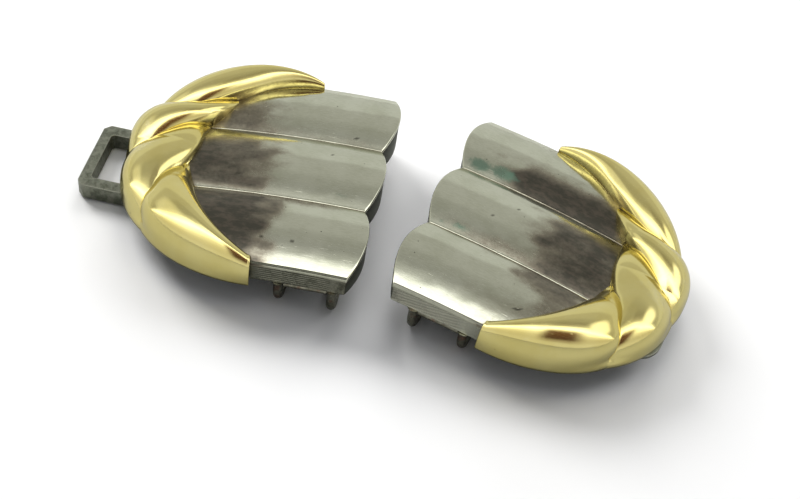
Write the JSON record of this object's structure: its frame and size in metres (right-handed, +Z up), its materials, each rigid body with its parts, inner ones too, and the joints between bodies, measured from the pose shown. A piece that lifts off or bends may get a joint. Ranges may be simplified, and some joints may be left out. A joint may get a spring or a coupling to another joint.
{
  "type": "two-part belt clasp",
  "caption": "Interlocking belt clasp in separate mirrored halves, each a pleated silver-tone face with a lobed gold-tone crescent, wire strap bars underneath, and a dark eye or hook end.",
  "frame": {"origin": "at table level (Z = 0, the underside of the strap bars), under the middle of the plan box around both halves as they lie", "axes": "+Z up out of the decorated face; the left half runs along -X from its pleated end to its gold end and the clasp eye; the right half lies on +X, turned 14.1 degrees clockwise seen from above; +Y runs across the belt, away from the viewer's side"},
  "size_m": [0.1066, 0.0504, 0.0149],
  "materials": {
    "pleated_silver": "polished silver-tone plating with fine scratches and brown tarnish beside the crescent",
    "cast_frame": "silver-tone cast metal, satin edge band with fine diagonal engraved lines",
    "polished_gold": "highly polished gold-tone plating",
    "wire": "dull plated round wire",
    "dark_clasp": "dark antiqued, worn bright at the edges",
    "backing": "dull stamped sheet, tarnished",
    "rivets": "dull rounded heads"
  },
  "bodies": {
    "left_half": {"left_fluted_face": "pleated_silver", "left_base_frame": "cast_frame", "left_gold_crescent": "polished_gold", "left_back_plate": "backing", "left_inner_strap_bar": "wire", "left_outer_strap_bar": "wire", "left_near_bar_rail": "wire", "left_far_bar_rail": "wire", "left_near_crescent_rivet": "rivets", "left_far_crescent_rivet": "rivets", "left_end_crescent_rivet": "rivets", "left_eye_bracket_rivet_near": "rivets", "left_eye_bracket_rivet_far": "rivets", "left_eye_bracket": "dark_clasp", "left_eye_hinge_pin": "dark_clasp"},
    "clasp_eye": {"left_clasp_eye": "dark_clasp"},
    "right_half": {"right_fluted_face": "pleated_silver", "right_base_frame": "cast_frame", "right_gold_crescent": "polished_gold", "right_back_plate": "backing", "right_inner_strap_bar": "wire", "right_outer_strap_bar": "wire", "right_near_bar_rail": "wire", "right_far_bar_rail": "wire", "right_near_crescent_rivet": "rivets", "right_far_crescent_rivet": "rivets", "right_end_crescent_rivet": "rivets", "right_hook_rivet_near": "rivets", "right_hook_rivet_far": "rivets", "right_clasp_hook": "dark_clasp"}
  },
  "joints": [
    {"name": "eye_swing", "type": "hinge", "parent": "left_half", "child": "clasp_eye", "pos_m": [-0.04226, 0.00206, 0.0019], "axis": [0, 1, 0], "range_deg": [-100, 8]},
    {"name": "halves_apart", "type": "slide", "parent": "left_half", "child": "right_half", "axis": [1, 0, 0], "range_m": [-0.004, 0.05]}
  ]
}
